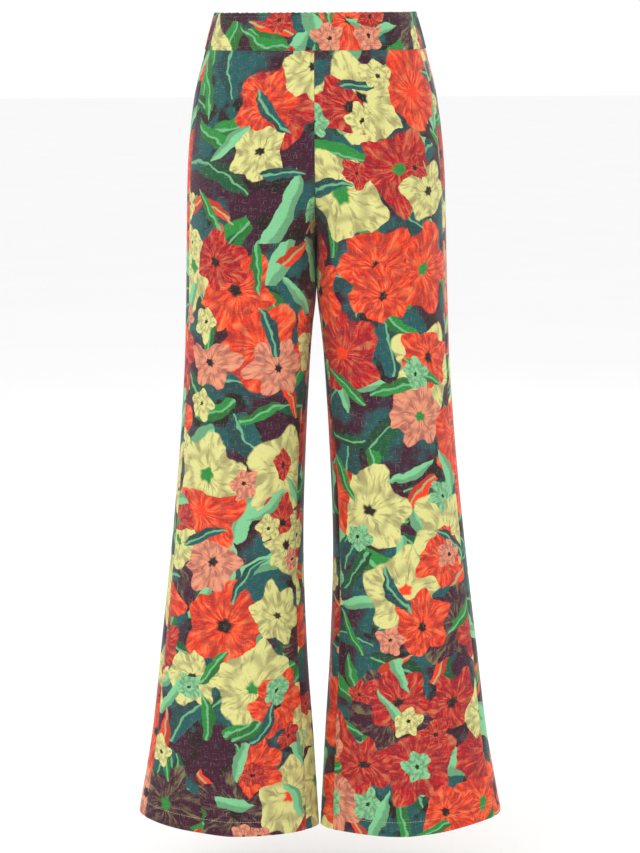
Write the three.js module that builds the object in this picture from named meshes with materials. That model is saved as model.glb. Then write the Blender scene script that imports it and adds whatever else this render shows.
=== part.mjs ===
// Wide-leg pull-on trousers, filled out as they are worn: four cloth panels, a flat front
// waistband and an elasticated, gathered back waistband. Waist and hems are open.
// Millimetres, +Z up, the front faces -Y. The origin is the centre of the waistband, where a
// wearer's waist holds the trousers.
import * as THREE from "three";

// Driving dimensions. A drop is a distance straight down from the waistband's top edge.
const BAND_HEIGHT = 46;
const FORK_DROP = 275; // where the two legs part
const CLEFT_DROP = 135; // where the crotch curve starts to leave the centre seams
const HEM_DROP = 1072; // on the middle of a leg
const HEM_TURN_UP = 20;
const HEM_SLOPE = 0.083; // the outer end of a hem hangs higher than its inner end
const HEM_SLOPE_FROM = 700; // above this drop the rows of a leg are level
const CLOTH = 1.2;
const HEM_CLOTH = 2.2; // turned up, so two layers
const FRONT_BAND_CLOTH = 2.0;
const BACK_BAND_CLOTH = 2.6; // two layers and the elastic between them
const BAND_PROUD = 0.8; // the bands stand this far outside the panels
const SEAM_GAP = 0.3;

// The form that the cloth is cut to, half of it, at drops down the trousers. half is from the
// centre to the outer side, core is the middle of the half, inner is from the centre to the
// inner side of the leg, and front and back are depths from the side-to-side middle line.
// corner and side are the powers of the curve round the inner and the outer side: 2 is an
// ellipse, more is squarer, and less has a soft ridge down the middle of the leg.
const FORM = [
  { drop: 0, half: 126, core: 22, inner: 0.15, front: 88, back: 92, corner: 2, side: 2 },
  { drop: 46, half: 139, core: 34, inner: 0.15, front: 97, back: 104, corner: 2, side: 2 },
  { drop: 100, half: 154, core: 46, inner: 0.15, front: 106, back: 120, corner: 2, side: 2 },
  { drop: 180, half: 164, core: 66, inner: 0.15, front: 112, back: 131, corner: 2.4, side: 2 },
  { drop: 275, half: 167.5, core: 84, inner: 0.2, front: 110, back: 127, corner: 3, side: 2 },
  { drop: 355, half: 169.5, core: 86, inner: 0.6, front: 105, back: 116, corner: 3, side: 2 },
  { drop: 400, half: 171, core: 88, inner: 5.3, front: 101, back: 110, corner: 2.8, side: 2 },
  { drop: 450, half: 173, core: 91, inner: 9.5, front: 98, back: 104, corner: 2.6, side: 2 },
  { drop: 560, half: 181, core: 98, inner: 15.5, front: 92, back: 96, corner: 2.3, side: 2 },
  { drop: 690, half: 194, core: 106, inner: 19.5, front: 87, back: 90, corner: 2.1, side: 2 },
  { drop: 830, half: 210, core: 112.5, inner: 16, front: 83, back: 86, corner: 1.9, side: 1.95 },
  { drop: 960, half: 225, core: 116, inner: 7.2, front: 80, back: 83, corner: 1.65, side: 1.85 },
  { drop: 1072, half: 244, core: 122.2, inner: 0.4, front: 78, back: 81, corner: 1.45, side: 1.75 },
];

const FORM_COLUMNS = ["half", "core", "inner", "front", "back", "corner", "side"];

// Places round half a section are counted in quarter turns from the middle of its front:
// -1 is the centre front or the inner side, 1 the outer side, 2 the back, 3 the centre back or
// the inner side again. In a leg, 3 to 4 is the same stretch as -1 to 0.
const SIDE_SEAM = 0.78;
const INSEAM_FORWARD = 0.29; // how far the inseam lies in front of the leg's inner side
const INSEAM_SETTLED = 300; // the drop below the fork over which it gets there

// Rows of cloth down a panel.
const HIP_ROWS = [BAND_HEIGHT + SEAM_GAP, 75, 105];
const CROTCH_ROWS = 6;
const LEG_ROWS = [290, 320, 355, 400, 460, 540, 640, 740, 830, 910, 985];
const OUTER_COLUMNS = { front: 6, back: 10 };
const INNER_COLUMNS = { front: 9, back: 10 };

const BAND_ROWS = 3;
const FRONT_BAND_COLUMNS = 32;
const GATHERS = 26; // across the back waistband
const GATHER_DEPTH = 1.3;
const COLUMNS_PER_GATHER = 4;

const QUARTER = Math.PI / 2;
const TINY = 1e-6;
const PROBE = 0.5; // the step down a panel used to find the surface's slope
const PROBE_TURN = 0.004; // the step round it
const FINE_STEPS = 240; // for measuring along a row

const smooth = (t) => {
  const s = Math.min(1, Math.max(0, t));
  return s * s * (3 - 2 * s);
};

// The slope of a column of FORM at one row, from its neighbours.
function slopeAt(i, key) {
  const before = FORM[Math.max(0, i - 1)];
  const after = FORM[Math.min(FORM.length - 1, i + 1)];
  return (after[key] - before[key]) / (after.drop - before.drop);
}

// A column of FORM at any drop, on a smooth curve through its rows.
function formValue(drop, key) {
  const last = FORM.length - 2;
  const i = Math.min(last, Math.max(0, FORM.findIndex((row) => row.drop > drop) - 1));
  const at = FORM.at(-1).drop <= drop ? last : i;
  const from = FORM[at];
  const to = FORM[at + 1];
  const span = to.drop - from.drop;
  const t = Math.min(1, Math.max(0, (drop - from.drop) / span));
  const rise = t * t * (3 - 2 * t);
  const lead = t * (1 - t) * (1 - t) * span * slopeAt(at, key);
  const tail = t * t * (1 - t) * span * slopeAt(at + 1, key);
  return from[key] * (1 - rise) + to[key] * rise + lead - tail;
}

// The inner quarters of a section stop at the centre seam. This is how much of the way to a
// closed leg they curve: 0 where the crotch curve starts, 1 at the fork and below it.
const closing = (drop) => smooth((drop - CLEFT_DROP) / (FORK_DROP - CLEFT_DROP));

function sectionAt(drop) {
  const section = { drop, closing: closing(drop) };
  for (const key of FORM_COLUMNS) section[key] = formValue(drop, key);
  section.inner = Math.max(SEAM_GAP / 2, section.inner);
  section.turn = Math.asin(section.closing ** (section.corner / 2));
  return section;
}

// A cosine that never falls below 0 by rounding.
const upright = (angle) => Math.max(0, Math.cos(angle));

// x and y of a place on an inner quarter: share is 0 at its deepest point, 1 at its inner end.
function innerPlace(section, share, depth) {
  const { turn, core, inner } = section;
  const power = 2 / section.corner;
  const across = turn > TINY ? Math.sin(turn * share) ** power / section.closing : share ** power;
  return [core - (core - inner) * across, depth * upright(turn * share) ** power];
}

function outerPlace(section, share, depth) {
  const angle = QUARTER * share;
  const power = 2 / section.side;
  const reach = section.half - section.core;
  return [section.core + reach * Math.sin(angle) ** power, depth * upright(angle) ** power];
}

// A place as a number from -1 to 3: a leg's ring runs on past its inner side, and a hip's
// section stops at the centre seam.
function settled(section, place) {
  const isLeg = section.drop >= FORK_DROP;
  if (place > 3) return isLeg ? place - 4 : 3;
  if (place < -1) return isLeg ? place + 4 : -1;
  return place;
}

// x and y at a place round the half section.
function around(section, place) {
  const u = settled(section, place);
  if (u <= 0) return innerPlace(section, -u, -section.front);
  if (u <= 1) return outerPlace(section, u, -section.front);
  if (u <= 2) return outerPlace(section, 2 - u, section.back);
  return innerPlace(section, u - 2, section.back);
}

// A point of the form on the +X side. Near the hem the rows of a leg slope.
function formPoint(drop, place) {
  const section = sectionAt(drop);
  const [x, y] = around(section, place);
  const share = smooth((drop - HEM_SLOPE_FROM) / (HEM_DROP - HEM_SLOPE_FROM));
  const level = drop - HEM_SLOPE * (x - section.core) * share;
  return new THREE.Vector3(x, y, BAND_HEIGHT / 2 - level);
}

// The outward normal of the form at a point.
function formNormal(drop, place) {
  const round = formPoint(drop, place + PROBE_TURN).sub(formPoint(drop, place - PROBE_TURN));
  const down = formPoint(drop + PROBE, place).sub(formPoint(drop - PROBE, place));
  return down.cross(round).normalize();
}

// How far the inseam lies in front of the inner side, in quarter turns.
const inseamForward = (drop) => INSEAM_FORWARD * smooth((drop - FORK_DROP) / INSEAM_SETTLED);

// Places along a row between two ends, evenly spaced along the cloth, and half a seam gap
// short of each end that is sewn on a seam off the centre.
function evenPlaces(drop, start, stop, columns, gaps) {
  const section = sectionAt(drop);
  const fine = Array.from({ length: FINE_STEPS + 1 }, (_, i) => start + ((stop - start) * i) / FINE_STEPS);
  const lengths = [0];
  for (let i = 1; i <= FINE_STEPS; i++) {
    const [x0, y0] = around(section, fine[i - 1]);
    const [x1, y1] = around(section, fine[i]);
    lengths.push(lengths[i - 1] + Math.hypot(x1 - x0, y1 - y0));
  }
  const first = gaps[0] * SEAM_GAP * 0.5;
  const last = lengths[FINE_STEPS] - gaps[1] * SEAM_GAP * 0.5;
  return Array.from({ length: columns + 1 }, (_, i) => {
    const wanted = first + ((last - first) * i) / columns;
    let k = 1;
    while (k < FINE_STEPS && lengths[k] < wanted) k++;
    const t = (wanted - lengths[k - 1]) / (lengths[k] - lengths[k - 1]);
    return fine[k - 1] + (fine[k] - fine[k - 1]) * t;
  });
}

// The places of a panel's row: from the side seam to the middle of the front or the back, then
// to the inner end, which is the centre seam above the fork and the inseam below it.
function panelPlaces(drop, part) {
  const middle = part === "front" ? 0 : 2;
  const innerEnd = (part === "front" ? -1 : 3) + inseamForward(drop);
  const onInseam = drop >= FORK_DROP ? 1 : 0;
  const outerStretch = evenPlaces(drop, SIDE_SEAM, middle, OUTER_COLUMNS[part], [1, 0]);
  const innerStretch = evenPlaces(drop, middle, innerEnd, INNER_COLUMNS[part], [0, onInseam]);
  return [...outerStretch, ...innerStretch.slice(1)];
}

function panelDrops() {
  const crotch = Array.from({ length: CROTCH_ROWS + 1 }, (_, i) => {
    const angle = (QUARTER * i) / CROTCH_ROWS;
    return CLEFT_DROP + (FORK_DROP - CLEFT_DROP) * Math.sin(angle);
  });
  const hem = [HEM_DROP - HEM_TURN_UP - 1, HEM_DROP - HEM_TURN_UP, HEM_DROP];
  return [...HIP_ROWS, ...crotch, ...LEG_ROWS, ...hem];
}

// A closed wall from two grids of points, the outer face and the inner face.
function wallGeometry(outer, inner) {
  const rows = outer.length;
  const columns = outer[0].length;
  const corners = [...outer.flat(), ...inner.flat()];
  const at = (layer, r, c) => layer * rows * columns + r * columns + c;
  const faces = [];
  const quad = (a, b, c, d) => faces.push(a, b, c, a, c, d);
  for (let r = 0; r + 1 < rows; r++) {
    for (let c = 0; c + 1 < columns; c++) {
      quad(at(0, r, c), at(0, r + 1, c), at(0, r + 1, c + 1), at(0, r, c + 1));
      quad(at(1, r, c), at(1, r, c + 1), at(1, r + 1, c + 1), at(1, r + 1, c));
    }
  }
  for (let c = 0; c + 1 < columns; c++) {
    quad(at(0, 0, c), at(0, 0, c + 1), at(1, 0, c + 1), at(1, 0, c));
    quad(at(0, rows - 1, c + 1), at(0, rows - 1, c), at(1, rows - 1, c), at(1, rows - 1, c + 1));
  }
  for (let r = 0; r + 1 < rows; r++) {
    quad(at(0, r + 1, 0), at(0, r, 0), at(1, r, 0), at(1, r + 1, 0));
    const c = columns - 1;
    quad(at(0, r, c), at(0, r + 1, c), at(1, r + 1, c), at(1, r, c));
  }
  return closedGeometry(corners, faces);
}

// Faces are turned so that the solid's volume is positive.
function closedGeometry(corners, faces) {
  let volume = 0;
  for (let i = 0; i < faces.length; i += 3) {
    const [a, b, c] = [0, 1, 2].map((k) => corners[faces[i + k]]);
    volume += a.dot(b.clone().cross(c));
  }
  const index = volume < 0 ? faces.reverse() : faces;
  const geometry = new THREE.BufferGeometry().setFromPoints(corners);
  geometry.setIndex(index);
  geometry.computeVertexNormals();
  return geometry;
}

// The inner face's point behind a point of the outer face. It stays on its own side of the
// centre seams.
function liningPoint(point, drop, place, cloth) {
  const behind = point.clone().addScaledVector(formNormal(drop, place), -cloth);
  return behind.setX(Math.max(behind.x, SEAM_GAP / 2));
}

// One trouser panel: side is 1 for the wearer's left (+X) and -1 for the right.
function panelGeometry(side, part) {
  const outer = [];
  const inner = [];
  for (const drop of panelDrops()) {
    const cloth = drop >= HEM_DROP - HEM_TURN_UP ? HEM_CLOTH : CLOTH;
    const places = panelPlaces(drop, part);
    const face = places.map((place) => formPoint(drop, place));
    const lining = places.map((place, i) => liningPoint(face[i], drop, place, cloth));
    outer.push(face.map((p) => p.setX(p.x * side)));
    inner.push(lining.map((p) => p.setX(p.x * side)));
  }
  return wallGeometry(outer, inner);
}

// A point of the band's wall, as far proud of the form as said. Its middle is on the centre.
function bandPoint(drop, place, side, proud) {
  const normal = formNormal(drop, place);
  const point = formPoint(drop, place);
  if (side === 0) normal.setX(0).normalize();
  point.addScaledVector(normal, proud);
  return point.setX(point.x * side);
}

// A row of a waistband, from the right side seam to the left one. centre is its middle's place.
function bandRow(drop, centre, columns, proud) {
  const places = evenPlaces(drop, centre, SIDE_SEAM, columns / 2, [0, 1]);
  const right = places.slice(1).reverse().map((place) => [place, -1]);
  const left = places.slice(1).map((place) => [place, 1]);
  const row = [...right, [centre, 0], ...left];
  return row.map(([place, side], i) => bandPoint(drop, place, side, proud((2 * i) / columns - 1)));
}

function bandGeometry({ centre, columns, cloth, ripple }) {
  const drops = Array.from({ length: BAND_ROWS + 1 }, (_, r) => (BAND_HEIGHT * r) / BAND_ROWS);
  const face = (offset) =>
    drops.map((drop) => bandRow(drop, centre, columns, (at) => offset + ripple(at)));
  const outer = face(BAND_PROUD);
  const inner = face(BAND_PROUD - cloth);
  return wallGeometry(outer, inner);
}

const frontBand = () =>
  bandGeometry({
    centre: -1,
    columns: FRONT_BAND_COLUMNS,
    cloth: FRONT_BAND_CLOTH,
    ripple: () => 0,
  });

// The elastic draws the back band into even ripples, which die out at the side seams.
const backBand = () =>
  bandGeometry({
    centre: 3,
    columns: GATHERS * COLUMNS_PER_GATHER,
    cloth: BACK_BAND_CLOTH,
    ripple: (share) => {
      const fade = smooth((1 - Math.abs(share)) * 8);
      return GATHER_DEPTH * fade * Math.cos(Math.PI * GATHERS * share);
    },
  });

const clothMaterial = (color) =>
  new THREE.MeshStandardMaterial({ color, roughness: 0.8, metalness: 0, side: THREE.DoubleSide });

function piece(name, geometry, color) {
  const mesh = new THREE.Mesh(geometry, clothMaterial(color));
  mesh.name = name;
  return mesh;
}

function legPanels(side, word) {
  const pair = new THREE.Group();
  pair.add(piece("front_panel_" + word, panelGeometry(side, "front"), 0xd9572f));
  pair.add(piece("back_panel_" + word, panelGeometry(side, "back"), 0xc94a2a));
  return pair;
}

const trousers = new THREE.Group();
trousers.add(legPanels(1, "left"));
trousers.add(legPanels(-1, "right"));
trousers.add(piece("waistband_front", frontBand(), 0x2f6b60));
trousers.add(piece("waistband_back", backBand(), 0x5a2440));

export default trousers;
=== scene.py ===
"""Wide-leg pull-on trousers, filled out as worn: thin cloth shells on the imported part's form."""
import math

import bmesh
import bpy
import numpy as np
from mathutils import Matrix, Vector


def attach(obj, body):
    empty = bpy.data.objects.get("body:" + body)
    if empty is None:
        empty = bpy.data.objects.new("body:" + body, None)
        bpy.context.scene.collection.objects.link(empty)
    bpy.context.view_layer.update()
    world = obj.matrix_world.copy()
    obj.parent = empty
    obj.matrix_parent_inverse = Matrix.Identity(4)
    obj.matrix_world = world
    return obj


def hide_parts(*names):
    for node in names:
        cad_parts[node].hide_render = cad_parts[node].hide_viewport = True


# Driving sizes, in millimetres. A drop is a distance straight down from the waistband's top.
MM = 0.001
BAND_HEIGHT = 46
FORK_DROP = 275
CLEFT_DROP = 135
HEM_DROP = 1072
HEM_TURN_UP = 20
HEM_SLOPE = 0.083
HEM_SLOPE_FROM = 700
CLOTH = 1.0
HEM_CLOTH = 2.0
BAND_CLOTH = {"front": 2.0, "back": 2.4}
BAND_PROUD = 0.8
SEAM_GAP = 0.3
SIDE_SEAM = 0.78
INSEAM_FORWARD = 0.29
INSEAM_SETTLED = 300

# The form, a row for each drop: half is from the centre to the outer side, core is the middle
# of the half, inner is from the centre to the inner side, front and back are depths.
FORM_COLUMNS = ("drop", "half", "core", "inner", "front", "back", "corner", "side")
FORM_ROWS = (
    (0, 126, 22, 0.15, 88, 92, 2, 2),
    (46, 139, 34, 0.15, 97, 104, 2, 2),
    (100, 154, 46, 0.15, 106, 120, 2, 2),
    (180, 164, 66, 0.15, 112, 131, 2.4, 2),
    (275, 167.5, 84, 0.2, 110, 127, 3, 2),
    (355, 169.5, 86, 0.6, 105, 116, 3, 2),
    (400, 171, 88, 5.3, 101, 110, 2.8, 2),
    (450, 173, 91, 9.5, 98, 104, 2.6, 2),
    (560, 181, 98, 15.5, 92, 96, 2.3, 2),
    (690, 194, 106, 19.5, 87, 90, 2.1, 2),
    (830, 210, 112.5, 16, 83, 86, 1.9, 1.95),
    (960, 225, 116, 7.2, 80, 83, 1.65, 1.85),
    (1072, 244, 122.2, 0.4, 78, 81, 1.45, 1.75),
)
FORM = dict(zip(FORM_COLUMNS, np.array(FORM_ROWS, float).T))

# Mesh columns from the side seam to the middle of a panel, and from there to its inner edge.
PANEL_COLUMNS = {"front": (28, 38), "back": (46, 46)}
PANEL_ROWS = 232
HEM_ROWS = 10
BAND_COLUMNS = {"front": 120, "back": 364}
BAND_ROWS = 23
GATHERS = 26
FINE_STEPS = 240
PROBE = 0.5
PROBE_TURN = 0.004
TINY = 1e-6
QUARTER = math.pi / 2

# Soft folds of the cloth. Each runs from its top drop to its bottom drop, at shares of the
# panel's width from the side seam. A trough has a height below 0.
FOLD_COLUMNS = ("part", "side", "top", "bottom", "across_top", "across_bottom", "width", "height")
FOLD_ROWS = (
    ("front", 1, 330, 930, 0.62, 0.50, 24, 1.5),
    ("front", 1, 560, 1130, 0.27, 0.22, 30, -2.2),
    ("front", 1, 720, 1130, 0.76, 0.82, 20, 1.6),
    ("front", 1, 250, 345, 1.00, 0.68, 7, -1.3),
    ("front", 1, 292, 420, 0.98, 0.74, 9, 1.0),
    ("front", 1, 90, 250, 0.60, 0.86, 16, -0.9),
    ("front", -1, 300, 860, 0.58, 0.55, 28, 1.3),
    ("front", -1, 610, 1130, 0.31, 0.18, 26, -1.9),
    ("front", -1, 780, 1130, 0.70, 0.74, 18, 1.5),
    ("front", -1, 245, 365, 1.00, 0.60, 8, -1.1),
    ("front", -1, 300, 395, 0.97, 0.80, 8, 1.1),
    ("front", -1, 110, 235, 0.55, 0.90, 18, -0.8),
    ("back", 1, 330, 1130, 0.58, 0.62, 34, -3.0),
    ("back", 1, 430, 1000, 0.30, 0.26, 28, 1.9),
    ("back", 1, 660, 1130, 0.80, 0.86, 22, 2.1),
    ("back", 1, 235, 345, 0.98, 0.60, 10, -1.9),
    ("back", 1, 275, 420, 0.96, 0.72, 11, 1.5),
    ("back", 1, 130, 260, 0.45, 0.85, 18, -1.4),
    ("back", -1, 360, 1130, 0.54, 0.57, 38, -2.7),
    ("back", -1, 400, 930, 0.24, 0.30, 26, 1.7),
    ("back", -1, 700, 1130, 0.78, 0.81, 24, 2.3),
    ("back", -1, 240, 330, 0.98, 0.66, 9, -1.7),
    ("back", -1, 285, 450, 0.95, 0.64, 13, 1.6),
    ("back", -1, 120, 250, 0.50, 0.88, 20, -1.5),
)
FOLDS = [dict(zip(FOLD_COLUMNS, row)) for row in FOLD_ROWS]

# The groove that a seam lies in, and the ridge that its hidden allowance raises beside it.
SEAM_GROOVE = {"depth": 0.85, "width": 2.2}
SEAM_RIDGE = {"height": 0.3, "from_seam": 7.5, "width": 3.2}
FOLDS_START_FROM_SEAM = 14

# Where each piece is cut from the printed cloth, in metres, so that its print is its own.
PRINT_PLACE = {
    "front_panel_left": (0.0, 0.0),
    "front_panel_right": (1.37, 0.42),
    "back_panel_left": (2.71, 0.18),
    "back_panel_right": (4.13, 0.77),
    "waistband_front": (5.30, 0.35),
    "waistband_back": (6.45, 0.05),
}

STITCH = {"length": 2.5, "gap": 1.0, "width": 0.55, "lift": 0.12}
BAND_STITCH_DROPS = (4.8, 41.0)
STITCH_RINGS = (0.0, 0.15, 0.5, 0.85, 1.0)
STITCH_FULLNESS = (0.15, 0.8, 1.0, 0.8, 0.15)
STITCH_SIDES = 6


def smooth(t):
    s = np.clip(t, 0, 1)
    return s * s * (3 - 2 * s)


def bell(distance, width):
    return np.exp(-((distance / width) ** 2))


# ---- The form -------------------------------------------------------------------------------


def form_value(drop, key):
    """A column of FORM at any drop, on a smooth curve through its rows."""
    rows = FORM["drop"]
    values = FORM[key]
    last = len(rows) - 1
    spot = np.arange(last + 1)
    before = np.maximum(spot - 1, 0)
    after = np.minimum(spot + 1, last)
    slopes = (values[after] - values[before]) / (rows[after] - rows[before])
    i = np.clip(np.searchsorted(rows, drop, side="right") - 1, 0, last - 1)
    span = rows[i + 1] - rows[i]
    t = np.clip((drop - rows[i]) / span, 0, 1)
    rise = t * t * (3 - 2 * t)
    lead = t * (1 - t) ** 2 * span * slopes[i]
    tail = t * t * (1 - t) * span * slopes[i + 1]
    return values[i] * (1 - rise) + values[i + 1] * rise + lead - tail


def section_at(drop):
    section = {key: form_value(drop, key) for key in FORM_COLUMNS[1:]}
    section["inner"] = np.maximum(section["inner"], SEAM_GAP / 2)
    section["closing"] = smooth((drop - CLEFT_DROP) / (FORK_DROP - CLEFT_DROP))
    section["turn"] = np.arcsin(section["closing"] ** (section["corner"] / 2))
    return section


def inner_place(section, share, depth):
    """x and y on an inner quarter: share is 0 at its deepest point, 1 at its inner end."""
    share = np.clip(share, 0, 1)
    power = 2 / section["corner"]
    angle = section["turn"] * share
    curved = np.sin(angle) ** power / np.maximum(section["closing"], TINY)
    across = np.where(section["turn"] > TINY, curved, share**power)
    x = section["core"] - (section["core"] - section["inner"]) * across
    return x, depth * np.maximum(np.cos(angle), 0) ** power


def outer_place(section, share, depth):
    """x and y on an outer quarter: share is 0 at its deepest point, 1 at the outer side."""
    angle = QUARTER * np.clip(share, 0, 1)
    power = 2 / section["side"]
    x = section["core"] + (section["half"] - section["core"]) * np.sin(angle) ** power
    return x, depth * np.maximum(np.cos(angle), 0) ** power


def settled(drop, place):
    """A leg's ring runs on past its inner side, and a hip's row stops at the centre seam."""
    wrapped = np.where(place > 3, place - 4, np.where(place < -1, place + 4, place))
    return np.where(drop >= FORK_DROP, wrapped, np.clip(place, -1, 3))


def form_point(drop, place):
    """The left half's point: place -1 is the centre front or inner side, 1 the outer side."""
    drop, place = np.broadcast_arrays(np.asarray(drop, float), np.asarray(place, float))
    u = settled(drop, place)
    section = section_at(drop)
    quarters = (
        inner_place(section, -u, -section["front"]),
        outer_place(section, u, -section["front"]),
        outer_place(section, 2 - u, section["back"]),
        inner_place(section, u - 2, section["back"]),
    )
    which = (u > 0).astype(int) + (u > 1) + (u > 2)
    x = np.choose(which, [q[0] for q in quarters])
    y = np.choose(which, [q[1] for q in quarters])
    settle = smooth((drop - HEM_SLOPE_FROM) / (HEM_DROP - HEM_SLOPE_FROM))
    raised = HEM_SLOPE * (x - section["core"]) * settle
    return np.stack([x, y, BAND_HEIGHT / 2 - drop + raised], -1)


def form_normal(drop, place):
    along = form_point(drop, place + PROBE_TURN) - form_point(drop, place - PROBE_TURN)
    down = form_point(drop + PROBE, place) - form_point(drop - PROBE, place)
    normal = np.cross(down, along)
    return normal / np.maximum(np.linalg.norm(normal, axis=-1, keepdims=True), TINY)


def arc_lengths(points):
    steps = np.linalg.norm(np.diff(points[..., :2], axis=-2), axis=-1)
    return np.concatenate([np.zeros(steps.shape[:-1] + (1,)), np.cumsum(steps, -1)], -1)


def even_places(drop, start, stop, columns, gaps):
    """Places along one row, even along the cloth, half a seam gap short of each sewn end."""
    fine = np.linspace(start, stop, FINE_STEPS + 1)
    lengths = arc_lengths(form_point(drop, fine))
    first = gaps[0] * SEAM_GAP * 0.5
    last = lengths[-1] - gaps[1] * SEAM_GAP * 0.5
    return np.interp(np.linspace(first, last, columns + 1), lengths, fine)


# ---- Leg panels -----------------------------------------------------------------------------


def panel_row(drop, part, columns):
    """A panel's places from its side seam to the grain line and on to its inner edge."""
    middle = 0 if part == "front" else 2
    forward = INSEAM_FORWARD * smooth((drop - FORK_DROP) / INSEAM_SETTLED)
    inner_end = (-1 if part == "front" else 3) + forward
    on_inseam = 1 if drop >= FORK_DROP else 0
    outer = even_places(drop, SIDE_SEAM, middle, columns[0], (1, 0))
    inner = even_places(drop, middle, inner_end, columns[1], (0, on_inseam))
    return np.concatenate([outer, inner[1:]])


def panel_drops():
    hem_line = HEM_DROP - HEM_TURN_UP
    leg = np.linspace(BAND_HEIGHT + SEAM_GAP, hem_line - 0.6, PANEL_ROWS)
    hem = np.linspace(hem_line, HEM_DROP - 0.8, HEM_ROWS)
    return np.concatenate([leg, hem, [HEM_DROP]])


def row_widths(drop, places, middle_column):
    """Millimetres along each row from the grain line, below 0 towards the side seam."""
    lengths = arc_lengths(form_point(drop, places))
    return lengths - lengths[:, middle_column : middle_column + 1]


def fold_relief(part, side, drop, share, width_mm):
    """The long soft folds that the table names, thin at their ends."""
    total = np.zeros_like(share)
    for fold in FOLDS:
        if fold["part"] != part or fold["side"] != side:
            continue
        t = (drop - fold["top"]) / (fold["bottom"] - fold["top"])
        drift = (fold["across_bottom"] - fold["across_top"]) * np.clip(t, 0, 1)
        path = fold["across_top"] + drift
        sway = 0.012 * np.sin(drop / 61 + fold["top"])
        ends = smooth(t / 0.35) * smooth((1 - t) / 0.3)
        total += fold["height"] * ends * bell((share - path - sway) * width_mm, fold["width"])
    return total


def waist_relief(part, side, drop, along):
    """Puckers under the waist seam: faint in front, gathers of uneven length behind."""
    fall = drop - BAND_HEIGHT
    wander = np.sin(along / 9.7 + side) + 0.6 * np.sin(along / 4.1 + 2 * side)
    if part == "front":
        return 0.22 * wander * np.exp(-fall / 14)
    reach = 34 + 16 * np.sin(along / 23 + side) + 9 * np.sin(along / 8.3)
    ripple = np.cos(along / 2.55 + 0.7 * np.sin(along / 31))
    fine = 0.5 * np.sin(along / 1.3 + np.sin(along / 17))
    return (1.7 * ripple + fine + 0.4 * wander) * np.exp(-fall / reach)


def hem_relief(side, drop, along):
    """The hem's stitched groove, its soft edge, and the slow wave of the flare above it."""
    hem_line = HEM_DROP - HEM_TURN_UP
    wave = np.sin(along / 31 + 1.3 * side) + 0.55 * np.sin(along / 13.7 - side)
    slow = 0.95 * wave * smooth((drop - 900) / 180)
    pucker = 0.14 * np.sin(along / 2.9) * bell(drop - hem_line, 6)
    groove = -0.45 * bell(drop - hem_line, 1.6)
    return slow + pucker + groove - 0.5 * smooth((drop - HEM_DROP + 1.2) / 1.2)


def panel_relief(part, side, drop, along):
    """How far the cloth stands off the form, in millimetres. Its sewn edges lie in a groove."""
    start = along[:, :1]
    width = along[:, -1:] - start
    to_edge = np.minimum(along - start, start + width - along)
    share = (along - start) / width
    folds = fold_relief(part, side, drop, share, width)
    waves = waist_relief(part, side, drop, along) + hem_relief(side, drop, along)
    groove = -SEAM_GROOVE["depth"] * bell(to_edge, SEAM_GROOVE["width"])
    ridge = SEAM_RIDGE["height"] * bell(to_edge - SEAM_RIDGE["from_seam"], SEAM_RIDGE["width"])
    return (folds + waves) * smooth(to_edge / FOLDS_START_FROM_SEAM) + groove + ridge


def on_own_side(points):
    points[..., 0] = np.maximum(points[..., 0], SEAM_GAP / 2)
    return points


def panel_faces(part, side):
    """The outer and inner faces of a leg panel, and its cloth coordinates in millimetres."""
    columns = PANEL_COLUMNS[part]
    drops = panel_drops()
    places = np.array([panel_row(drop, part, columns) for drop in drops])
    drop = np.repeat(drops[:, None], places.shape[1], 1)
    along = row_widths(drop, places, columns[0])
    normal = form_normal(drop, places)
    relief = panel_relief(part, side, drop, along)[..., None]
    thick = np.where(drop >= HEM_DROP - HEM_TURN_UP, HEM_CLOTH, CLOTH)[..., None]
    thick = np.where(drop[..., None] >= HEM_DROP, HEM_CLOTH - 1.0, thick)
    outer = on_own_side(form_point(drop, places) + normal * relief)
    inner = on_own_side(outer - normal * thick)
    cloth = np.stack([along, drop], -1)
    flip = np.array([side, 1, 1])
    return outer * flip, inner * flip, cloth


def panel_line(part, side, drop_at):
    """Points and outward directions along a panel at one drop, for its stitches."""
    columns = tuple(3 * n for n in PANEL_COLUMNS[part])
    places = panel_row(drop_at, part, columns)[None, :]
    drop = np.full_like(places, drop_at)
    along = row_widths(drop, places, columns[0])
    normal = form_normal(drop, places)
    points = form_point(drop, places) + normal * panel_relief(part, side, drop, along)[..., None]
    flip = np.array([side, 1, 1])
    return points[0] * flip, normal[0] * flip


# ---- Waistbands -----------------------------------------------------------------------------


def band_relief(part, drop, share):
    """How far a waistband's outer face stands off the form: its stitch grooves and gathers."""
    rows = sum(bell(drop - row, 1.3) for row in BAND_STITCH_DROPS)
    rounding = bell(drop, 0.9) + bell(drop - BAND_HEIGHT, 0.7)
    plump = 0.35 * np.sin(math.pi * np.clip(drop / BAND_HEIGHT, 0, 1))
    surface = BAND_PROUD + plump - 0.32 * rows - 0.5 * rounding
    if part == "front":
        wander = np.sin(share * 23) + 0.7 * np.sin(share * 57 + 1)
        return surface + 0.14 * wander
    fade = smooth((1 - np.abs(share)) * 8)
    drift = 0.45 * np.sin(share * 19) + 0.3 * np.sin(share * 41 + 2)
    depth = 1.45 + 0.35 * np.sin(share * 33)
    pleats = np.cos(math.pi * GATHERS * share + drift)
    creases = 0.35 * np.cos(math.pi * 3 * GATHERS * share + 2 * drift)
    return surface + depth * fade * (pleats + creases)


def band_edge(part, drop, share):
    """The tiny rise and fall of the top edge, in millimetres."""
    top = np.exp(-drop / 2.5)
    size = 0.25 if part == "front" else 0.6
    return size * top * np.sin(share * (260 if part == "front" else 163))


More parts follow.
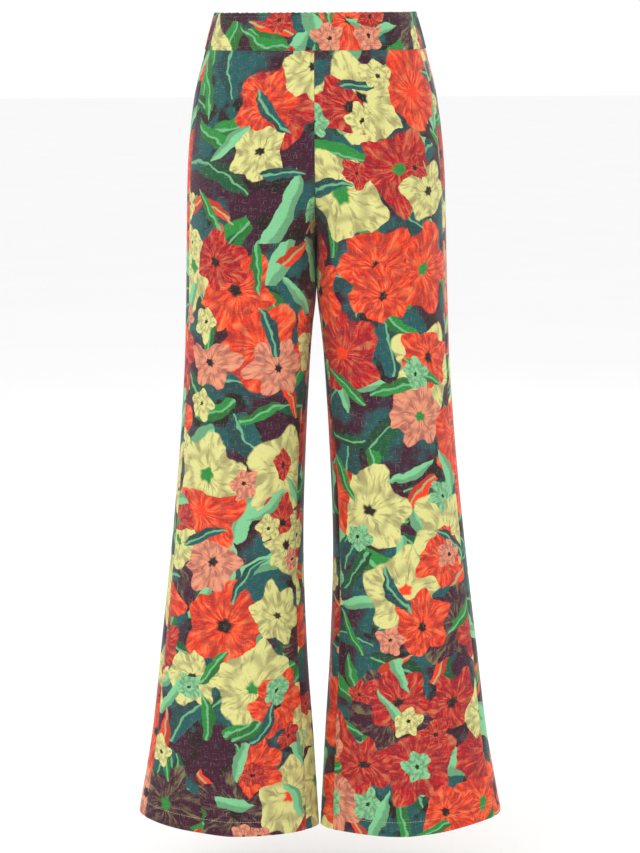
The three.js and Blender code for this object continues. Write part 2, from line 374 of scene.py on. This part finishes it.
def band_grid(part, drops, columns):
    """A waistband's outer points and directions, from the right side seam to the left."""
    centre = -1 if part == "front" else 3
    share = np.linspace(-1, 1, columns + 1)
    side = np.sign(share)
    drop = np.repeat(drops[:, None], columns + 1, 1)
    rows = []
    for at in drops:
        half = even_places(at, centre, SIDE_SEAM, columns // 2, (0, 1))
        rows.append(np.concatenate([half[:0:-1], half]))
    places = np.array(rows)
    normal = form_normal(drop, places)
    normal[..., 0] *= np.abs(side)
    normal /= np.linalg.norm(normal, axis=-1, keepdims=True)
    across = np.broadcast_to(share, drop.shape)
    points = form_point(drop, places) + normal * band_relief(part, drop, across)[..., None]
    points[..., 2] += band_edge(part, drop, across)
    flip = np.stack([side, np.ones_like(side), np.ones_like(side)], -1)
    along = row_widths(drop, places, columns // 2)
    return points * flip, normal * flip, along, drop


def band_faces(part):
    middle = np.linspace(1.6, BAND_HEIGHT - 1, BAND_ROWS)
    drops = np.concatenate([[0, 0.6], middle, [BAND_HEIGHT]])
    outer, normal, along, drop = band_grid(part, drops, BAND_COLUMNS[part])
    rounding = (bell(drop, 0.9) + bell(drop - BAND_HEIGHT, 0.7))[..., None]
    inner = outer - normal * (BAND_CLOTH[part] - 0.9 * rounding)
    return outer, inner, np.stack([along, drop], -1)


# ---- Meshes ---------------------------------------------------------------------------------


def wall_quads(rows, columns):
    """The faces of a closed wall from two grids: outer, inner, then the four rims."""
    o = np.arange(rows * columns).reshape(rows, columns)
    i = o + rows * columns
    front = np.stack([o[:-1, :-1], o[1:, :-1], o[1:, 1:], o[:-1, 1:]], -1).reshape(-1, 4)
    back = np.stack([i[:-1, :-1], i[:-1, 1:], i[1:, 1:], i[1:, :-1]], -1).reshape(-1, 4)
    rims = [
        np.stack([o[0, :-1], o[0, 1:], i[0, 1:], i[0, :-1]], -1),
        np.stack([o[-1, 1:], o[-1, :-1], i[-1, :-1], i[-1, 1:]], -1),
        np.stack([o[1:, 0], o[:-1, 0], i[:-1, 0], i[1:, 0]], -1),
        np.stack([o[:-1, -1], o[1:, -1], i[1:, -1], i[:-1, -1]], -1),
    ]
    return front, back, np.concatenate(rims)


def bake_layout(rows, columns, front, back, rims):
    """A map with the outer face on its left, the inner on its right and the rims above."""
    row, column = np.divmod(np.arange(rows * columns), columns)
    x = 0.01 + 0.48 * column / (columns - 1)
    y = 0.01 + 0.93 * row / (rows - 1)
    grid = np.stack([x, y], -1)
    count = rows * columns
    n = len(rims)
    left = 0.01 + 0.98 * np.arange(n) / n
    right = left + 0.9 * 0.98 / n
    low, high = np.full(n, 0.955), np.full(n, 0.99)
    strip = np.stack([left, low, right, low, right, high, left, high], -1).reshape(-1, 2)
    return np.concatenate([grid[front.ravel()], grid[back.ravel() - count] + (0.5, 0), strip])


def new_object(name, points, faces, materials):
    mesh = bpy.data.meshes.new(name)
    mesh.from_pydata((points * MM).tolist(), [], faces.tolist())
    for material in materials:
        mesh.materials.append(material)
    mesh.polygons.foreach_set("use_smooth", [True] * len(faces))
    piece = bpy.data.objects.new(name, mesh)
    bpy.context.scene.collection.objects.link(piece)
    return piece


def add_map(mesh, name, corners):
    layer = mesh.uv_layers.new(name=name)
    layer.data.foreach_set("uv", corners.astype(np.float32).ravel())


def wall_object(name, outer, inner, cloth, materials):
    rows, columns = outer.shape[:2]
    front, back, rims = wall_quads(rows, columns)
    faces = np.concatenate([front, back, rims])
    points = np.concatenate([outer.reshape(-1, 3), inner.reshape(-1, 3)])
    bake = bake_layout(rows, columns, front, back, rims)
    flat = cloth.reshape(-1, 2) * MM + PRINT_PLACE[name.removesuffix("_cloth")]
    # A wall whose outer faces look inwards, judged at its middle, is turned round.
    middle = len(front) // 2
    a, b, c = points[front[middle, :3]]
    away = points[front[middle, 0]] - points[back[middle, 0]]
    if np.dot(np.cross(b - a, c - a), away) < 0:
        faces = faces[:, ::-1]
        bake = bake.reshape(-1, 4, 2)[:, ::-1].reshape(-1, 2)
    piece = new_object(name, points, faces, materials)
    mesh = piece.data
    add_map(mesh, "Cloth", flat[faces.ravel() % (rows * columns)])
    add_map(mesh, "OFBake", bake)
    kinds = np.zeros(len(faces), np.int32)
    kinds[len(front) : len(front) + len(back)] = 1
    mesh.polygons.foreach_set("material_index", kinds)
    mesh.set_sharp_from_angle(angle=math.radians(60))
    return piece


def stitch_row(name, line, directions, material):
    """A row of small rounded stitches along a line of points, joined in one mesh."""
    steps = np.linalg.norm(np.diff(line, axis=0), axis=1)
    lengths = np.concatenate([[0], np.cumsum(steps)])
    pitch = STITCH["length"] + STITCH["gap"]
    starts = np.arange(1.5, lengths[-1] - STITCH["length"] - 1.0, pitch)
    points, faces = [], []
    turn = np.linspace(0, 2 * math.pi, STITCH_SIDES, endpoint=False)
    for number, start in enumerate(starts):
        base = number * (len(STITCH_RINGS) * STITCH_SIDES)
        first = at_length(line, lengths, start)
        last = at_length(line, lengths, start + STITCH["length"])
        out = at_length(directions, lengths, start + STITCH["length"] / 2)
        out /= np.linalg.norm(out)
        run = (last - first) / np.linalg.norm(last - first)
        across = np.cross(out, run)
        for ring, fullness in zip(STITCH_RINGS, STITCH_FULLNESS):
            centre = first + (last - first) * ring + out * (STITCH["lift"] * fullness)
            radius = STITCH["width"] / 2 * fullness
            wheel = np.cos(turn)[:, None] * across + 0.7 * np.sin(turn)[:, None] * out
            points.append(centre + radius * wheel)
        faces.append(base + tube_faces(len(STITCH_RINGS), STITCH_SIDES))
    piece = new_object(name, np.concatenate(points), np.concatenate(faces), [material])
    close_ends(piece.data)
    return piece


def at_length(values, lengths, at):
    return np.array([np.interp(at, lengths, values[:, k]) for k in range(3)])


def tube_faces(rings, sides):
    ring = np.arange(sides)
    after = np.roll(ring, -1)
    band = np.stack([ring, after, after + sides, ring + sides], -1)
    return np.concatenate([band + r * sides for r in range(rings - 1)])


def close_ends(mesh):
    work = bmesh.new()
    work.from_mesh(mesh)
    bmesh.ops.holes_fill(work, edges=[e for e in work.edges if e.is_boundary], sides=0)
    bmesh.ops.recalc_face_normals(work, faces=work.faces)
    work.to_mesh(mesh)
    work.free()


# ---- Materials ------------------------------------------------------------------------------


def ink(red, green, blue):
    """An 0 to 255 colour as Blender's linear one."""
    parts = (np.array([red, green, blue]) / 255) ** 2.2
    return (*parts.tolist(), 1.0)


ORANGE = ink(236, 60, 22)
RED = ink(190, 20, 24)
SALMON = ink(226, 136, 108)
CREAM = ink(218, 214, 134)
MINT = ink(122, 196, 140)
LEAF = ink(40, 132, 56)
DEEP_LEAF = ink(24, 84, 52)
TEAL = ink(30, 84, 84)
AUBERGINE = ink(62, 18, 42)
BROWN = ink(38, 24, 20)
PALE = ink(232, 226, 208)


class Graph:
    """Short names for the shader nodes that the print is made of."""

    def __init__(self, tree):
        self.tree = tree

    def node(self, kind, inputs=(), **settings):
        made = self.tree.nodes.new(kind)
        for key, value in settings.items():
            setattr(made, key, value)
        for key, value in dict(inputs).items():
            self.put(made.inputs[key], value)
        return made

    def put(self, socket, value):
        if isinstance(value, bpy.types.NodeSocket):
            self.tree.links.new(value, socket)
        else:
            socket.default_value = value

    def math(self, operation, a, b=0.0, c=0.0):
        made = self.node("ShaderNodeMath", {0: a, 1: b, 2: c}, operation=operation)
        return made.outputs[0]

    def vector(self, operation, a, b=(0, 0, 0)):
        made = self.node("ShaderNodeVectorMath", {0: a, 1: b}, operation=operation)
        return made.outputs["Value" if operation == "LENGTH" else "Vector"]

    def step(self, value, low, high):
        """0 below low and 1 above high, with a soft step between."""
        ends = {"Value": value, "From Min": low, "From Max": high}
        made = self.node("ShaderNodeMapRange", ends, interpolation_type="SMOOTHSTEP")
        return made.outputs["Result"]

    def mix(self, share, a, b):
        made = self.node("ShaderNodeMix", {0: share, 6: a, 7: b}, data_type="RGBA")
        return made.outputs[2]

    def noise(self, place, scale, detail=2.0, roughness=0.5):
        grain = {"Vector": place, "Scale": scale, "Detail": detail, "Roughness": roughness}
        made = self.node("ShaderNodeTexNoise", grain)
        return made.outputs["Fac"], made.outputs["Color"]

    def choose(self, value, colours):
        """One of several colours, in equal shares of value's 0 to 1."""
        ramp = self.node("ShaderNodeValToRGB", {"Fac": value})
        ramp.color_ramp.interpolation = "CONSTANT"
        elements = ramp.color_ramp.elements
        while len(elements) < len(colours):
            elements.new(0.5)
        for i, colour in enumerate(colours):
            elements[i].position = i / len(colours)
            elements[i].color = colour
        return ramp.outputs["Color"]


def cells(g, place, per_metre, shift):
    """Where each motif lies: the way from its middle, and three random numbers of its own."""
    moved = g.vector("ADD", place, (*shift, 0))
    spread = {"Vector": moved, "Scale": per_metre, "Randomness": 0.8}
    made = g.node("ShaderNodeTexVoronoi", spread, voronoi_dimensions="2D", feature="F1")
    away = g.node("ShaderNodeSeparateXYZ",
                  {0: g.vector("SUBTRACT", moved, made.outputs["Position"])})
    random = g.node("ShaderNodeSeparateColor", {0: made.outputs["Color"]})
    return away.outputs[0], away.outputs[1], random.outputs


def bloom_layer(g, under, place, per_metre, size, petals, shift, colours, shown):
    """Round open flowers with lobed petals, brushed shading and a small dark eye."""
    x, y, random = cells(g, place, per_metre, shift)
    radius = g.math("SQRT", g.math("ADD", g.math("MULTIPLY", x, x), g.math("MULTIPLY", y, y)))
    angle = g.math("ADD", g.math("ARCTAN2", y, x), g.math("MULTIPLY", random[0], 6.28))
    lobes = g.math("COSINE", g.math("MULTIPLY", angle, float(petals)))
    inner_lobes = g.math("COSINE", g.math("MULTIPLY_ADD", angle, float(petals), 2.2))
    rim = g.math("MULTIPLY_ADD", lobes, 0.13 * size, 0.87 * size)
    out = g.math("DIVIDE", radius, rim)
    polar = g.node("ShaderNodeCombineXYZ",
                   {0: g.math("MULTIPLY", g.math("SINE", angle), 2.6),
                    1: g.math("MULTIPLY", g.math("COSINE", angle), 2.6), 2: out})
    brushed, _ = g.noise(polar.outputs[0], 2.4, 3.0, 0.6)
    ring = g.math("MULTIPLY_ADD", inner_lobes, 0.07, 0.52)
    from_ring = g.math("ABSOLUTE", g.math("SUBTRACT", out, ring))
    fold = g.math("SUBTRACT", 1.0, g.step(from_ring, 0.0, 0.16))
    cleft = g.math("MULTIPLY", g.step(lobes, -0.55, -1.0), g.step(out, 0.45, 0.8))
    base = g.choose(random[1], colours)
    dark = g.mix(0.62, base, AUBERGINE)
    light = g.mix(0.24, base, CREAM)
    tone = g.mix(g.step(brushed, 0.46, 0.70), base, light)
    tone = g.mix(g.math("MULTIPLY", g.step(brushed, 0.52, 0.34), 0.85), tone, dark)
    shade = g.math("MAXIMUM", g.math("MULTIPLY", fold, 0.55), g.math("MULTIPLY", cleft, 0.8))
    tone = g.mix(shade, tone, dark)
    tone = g.mix(g.step(out, 0.2, 0.11), tone, g.choose(random[2], (BROWN, LEAF, ORANGE)))
    there = g.math("MULTIPLY", g.step(out, 1.0, 0.94), g.math("LESS_THAN", random[2], shown))
    return g.mix(there, under, tone)


def leaf_layer(g, under, place, per_metre, length, width, shift, colours, shown):
    """Pointed leaves with a paler rib, each turned its own way."""
    x, y, random = cells(g, place, per_metre, shift)
    turn = g.math("MULTIPLY", random[0], 6.28)
    cosine, sine = g.math("COSINE", turn), g.math("SINE", turn)
    along = g.math("ADD", g.math("MULTIPLY", x, cosine), g.math("MULTIPLY", y, sine))
    across = g.math("SUBTRACT", g.math("MULTIPLY", y, cosine), g.math("MULTIPLY", x, sine))
    bent = g.math("MULTIPLY_ADD", g.math("MULTIPLY", along, along), 4.0, across)
    share = g.math("DIVIDE", along, length)
    edge = g.math("MULTIPLY", g.math("SUBTRACT", 1.0, g.math("MULTIPLY", share, share)), width)
    inside = g.math("SUBTRACT", edge, g.math("ABSOLUTE", bent))
    base = g.choose(random[1], colours)
    rib = g.step(g.math("ABSOLUTE", bent), 0.0022, 0.0006)
    half = g.mix(g.math("GREATER_THAN", bent, 0.0), base, g.mix(0.4, base, BROWN))
    tone = g.mix(g.math("MULTIPLY", rib, 0.7), half, MINT)
    there = g.math("MULTIPLY", g.step(inside, 0.0, 0.0014), g.math("LESS_THAN", random[2], shown))
    return g.mix(there, under, tone)


def printed_colour(g, flat):
    """A tossed flower print in flat cloth metres: a dark ground, leaves, then blooms."""
    _, wide = g.noise(flat, 14.0, 2.0)
    _, fine = g.noise(flat, 62.0, 2.0)
    sway = g.vector("MULTIPLY", g.vector("SUBTRACT", wide, (0.5, 0.5, 0.5)), (0.034, 0.034, 0))
    shake = g.vector("MULTIPLY", g.vector("SUBTRACT", fine, (0.5, 0.5, 0.5)), (0.009, 0.009, 0))
    place = g.vector("ADD", flat, g.vector("ADD", sway, shake))
    patch, _ = g.noise(flat, 9.0, 3.0, 0.6)
    blot, _ = g.noise(flat, 21.0, 3.0, 0.6)
    colour = g.mix(g.step(patch, 0.44, 0.54), AUBERGINE, TEAL)
    colour = g.mix(g.step(blot, 0.52, 0.62), colour, BROWN)
    colour = leaf_layer(g, colour, place, 13.0, 0.060, 0.016, (3.1, 1.7),
                        (DEEP_LEAF, LEAF, TEAL, MINT), 0.85)
    colour = leaf_layer(g, colour, place, 17.0, 0.044, 0.010, (8.3, 5.2),
                        (LEAF, MINT, DEEP_LEAF, ORANGE), 0.75)
    colour = bloom_layer(g, colour, place, 9.0, 0.062, 5, (1.9, 4.4),
                         (ORANGE, CREAM, RED, ORANGE, CREAM, AUBERGINE), 0.84)
    colour = bloom_layer(g, colour, place, 11.5, 0.046, 6, (6.7, 2.3),
                         (CREAM, SALMON, ORANGE, RED), 0.42)
    colour = leaf_layer(g, colour, place, 15.0, 0.038, 0.009, (5.1, 7.9),
                        (MINT, LEAF, TEAL), 0.4)
    return bloom_layer(g, colour, place, 19.0, 0.021, 5, (2.6, 9.1),
                       (SALMON, CREAM, MINT, RED), 0.2)


def weave_height(g, flat):
    """A plain weave with thicker yarns here and there; from its height the cloth paints pale
    highlights on the high yarns and shade in the low ones.
    """
    parts = g.node("ShaderNodeSeparateXYZ", {0: flat})
    warp = g.node("ShaderNodeCombineXYZ", {0: g.math("MULTIPLY", parts.outputs[0], 1500.0),
                                           1: g.math("MULTIPLY", parts.outputs[1], 90.0)})
    weft = g.node("ShaderNodeCombineXYZ", {0: g.math("MULTIPLY", parts.outputs[0], 90.0),
                                           1: g.math("MULTIPLY", parts.outputs[1], 1500.0)})
    long_yarn, _ = g.noise(warp.outputs[0], 1.0, 2.0)
    cross_yarn, _ = g.noise(weft.outputs[0], 1.0, 2.0)
    return g.math("MAXIMUM", long_yarn, cross_yarn)


def cloth_material(name, wash):
    """The printed cloth. wash is how much paler the print shows on the cloth's reverse."""
    material = bpy.data.materials.new(name)
    material.use_nodes = True
    g = Graph(material.node_tree)
    shader = material.node_tree.nodes["Principled BSDF"]
    flat = g.node("ShaderNodeUVMap", uv_map="Cloth").outputs[0]
    colour = printed_colour(g, flat)
    height = weave_height(g, flat)
    # Painted highlight: the cloth turns pale where the weave's yarns stand high.
    painted_yarn_highlight = g.math("MULTIPLY", g.step(height, 0.60, 0.74), 0.20)
    colour = g.mix(painted_yarn_highlight, colour, PALE)
    # Painted shade: the cloth darkens towards brown where the weave lies low.
    colour = g.mix(g.math("MULTIPLY", g.step(height, 0.5, 0.38), 0.22), colour, BROWN)
    if wash:
        colour = g.mix(wash, colour, PALE)
    g.put(shader.inputs["Base Color"], colour)
    worn, _ = g.noise(flat, 40.0, 2.0)
    g.put(shader.inputs["Roughness"], g.math("MULTIPLY_ADD", worn, 0.16, 0.62))
    bump = g.node("ShaderNodeBump", {"Strength": 0.35, "Distance": 0.0003, "Height": height})
    g.put(shader.inputs["Normal"], bump.outputs[0])
    shader.inputs["Specular IOR Level"].default_value = 0.32
    shader.inputs["Sheen Weight"].default_value = 0.12
    shader.inputs["Sheen Roughness"].default_value = 0.45
    return material


def thread_material(name, colour):
    """Twisted thread: light and dark turns across each stitch, the dark turns painted shade where
    the twist lies low.
    """
    material = bpy.data.materials.new(name)
    material.use_nodes = True
    g = Graph(material.node_tree)
    shader = material.node_tree.nodes["Principled BSDF"]
    place = g.node("ShaderNodeTexCoord").outputs["Object"]
    twist, _ = g.noise(place, 2600.0, 2.0)
    tone, _ = g.noise(place, 35.0, 2.0)
    lit = g.mix(g.step(tone, 0.35, 0.65), colour, g.mix(0.3, colour, PALE))
    # Painted shade: the thread darkens towards brown where the twist's bump lies low.
    dark = g.mix(0.35, colour, BROWN)
    g.put(shader.inputs["Base Color"], g.mix(g.step(twist, 0.55, 0.4), lit, dark))
    shader.inputs["Roughness"].default_value = 0.6
    bump = g.node("ShaderNodeBump", {"Strength": 0.5, "Distance": 0.0001, "Height": twist})
    g.put(shader.inputs["Normal"], bump.outputs[0])
    return material


def floor_material():
    material = bpy.data.materials.new("floor")
    material.use_nodes = True
    g = Graph(material.node_tree)
    shader = material.node_tree.nodes["Principled BSDF"]
    place = g.node("ShaderNodeTexCoord").outputs["Object"]
    grain, _ = g.noise(place, 3.0, 3.0)
    colour = g.mix(grain, (0.93, 0.93, 0.93, 1), (0.96, 0.96, 0.96, 1))
    g.put(shader.inputs["Base Color"], colour)
    shader.inputs["Roughness"].default_value = 0.9
    shader.inputs["Specular IOR Level"].default_value = 0.1
    return material


# ---- The garment ----------------------------------------------------------------------------


def dress(piece):
    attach(piece, "root")
    return piece


def make_panel(part, word, side, cloths, thread):
    name = f"{part}_panel_{word}"
    panel = dress(wall_object(name + "_cloth", *panel_faces(part, side), cloths))
    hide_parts(name)
    line, out = panel_line(part, side, HEM_DROP - HEM_TURN_UP)
    hem = dress(stitch_row(name + "_hem_stitches", line, out, thread))


def make_band(part, cloths, thread):
    name = "waistband_" + part
    band = dress(wall_object(name + "_cloth", *band_faces(part), cloths))
    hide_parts(name)
    for number, drop in enumerate(BAND_STITCH_DROPS):
        points, out, _, _ = band_grid(part, np.array([drop]), BAND_COLUMNS[part])
        row = stitch_row(f"{name}_stitches_{number + 1}", points[0], out[0], thread)
        dress(row)


def make_trousers():
    cloths = [cloth_material("printed cloth", 0.0), cloth_material("cloth reverse", 0.42)]
    pale_thread = thread_material("pale thread", ink(214, 196, 150))
    band_thread = thread_material("band thread", ink(96, 84, 62))
    for side, word in ((1, "left"), (-1, "right")):
        for part in ("front", "back"):
            make_panel(part, word, side, cloths, pale_thread)
    for part in ("front", "back"):
        make_band(part, cloths, band_thread)


# ---- The studio -----------------------------------------------------------------------------

CAMERA_BACK = 3.0
CAMERA_ACROSS = 0.045
CAMERA_HEIGHT = 0.023
LOOK_DOWN = 10.116
LOOK_LEFT = 0.798
CAMERA_ROLL = -0.33
LENS = 97.93
FLOOR_Z = -1.15
FLOOR_HALF = 30.0
LIGHT_AIM = Vector((0, 0, -0.5))
# Each light: name, place, size in metres, watts.
LIGHTS = (
    ("key", (-1.8, -2.6, 1.3), 2.0, 24),
    ("fill", (2.4, -2.2, 0.3), 2.6, 5),
    ("back_key", (1.9, 2.6, 1.2), 2.0, 20),
    ("top", (0.0, 0.0, 2.6), 2.0, 8),
)


def make_camera():
    camera = bpy.data.objects.new("camera", bpy.data.cameras.new("camera"))
    bpy.context.scene.collection.objects.link(camera)
    camera.data.sensor_width = 36
    camera.data.lens = LENS
    place = Matrix.Translation((CAMERA_ACROSS, -CAMERA_BACK, CAMERA_HEIGHT))
    turn = Matrix.Rotation(math.radians(LOOK_LEFT), 4, "Z")
    tilt = Matrix.Rotation(math.radians(90 - LOOK_DOWN), 4, "X")
    roll = Matrix.Rotation(math.radians(CAMERA_ROLL), 4, "Z")
    camera.matrix_world = place @ turn @ tilt @ roll
    bpy.context.scene.camera = camera


def make_lights():
    for name, place, size, watts in LIGHTS:
        data = bpy.data.lights.new(name, "AREA")
        data.size = size
        data.energy = watts
        light = bpy.data.objects.new(name, data)
        light.location = place
        light.rotation_mode = "QUATERNION"
        light.rotation_quaternion = (Vector(place) - LIGHT_AIM).to_track_quat("Z", "Y")
        bpy.context.scene.collection.objects.link(light)


def make_studio():
    scene = bpy.context.scene
    scene.view_settings.view_transform = "Standard"
    world = bpy.data.worlds.new("studio")
    scene.world = world
    world.use_nodes = True
    background = world.node_tree.nodes["Background"]
    background.inputs["Color"].default_value = (1, 1, 1, 1)
    background.inputs["Strength"].default_value = 1.0
    h = FLOOR_HALF
    corners = [(-h, -h, FLOOR_Z), (h, -h, FLOOR_Z), (h, h, FLOOR_Z), (-h, h, FLOOR_Z)]
    mesh = bpy.data.meshes.new("floor")
    mesh.from_pydata(corners, [], [(0, 1, 2, 3)])
    mesh.materials.append(floor_material())
    floor = bpy.data.objects.new("floor", mesh)
    scene.collection.objects.link(floor)
    make_lights()
    make_camera()


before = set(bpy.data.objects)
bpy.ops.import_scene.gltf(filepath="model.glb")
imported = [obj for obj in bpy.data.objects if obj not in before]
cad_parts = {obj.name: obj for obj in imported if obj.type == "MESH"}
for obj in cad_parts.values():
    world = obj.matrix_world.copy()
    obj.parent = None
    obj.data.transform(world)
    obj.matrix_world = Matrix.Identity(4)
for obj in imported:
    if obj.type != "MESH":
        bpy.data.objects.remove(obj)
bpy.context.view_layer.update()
make_trousers()
make_studio()
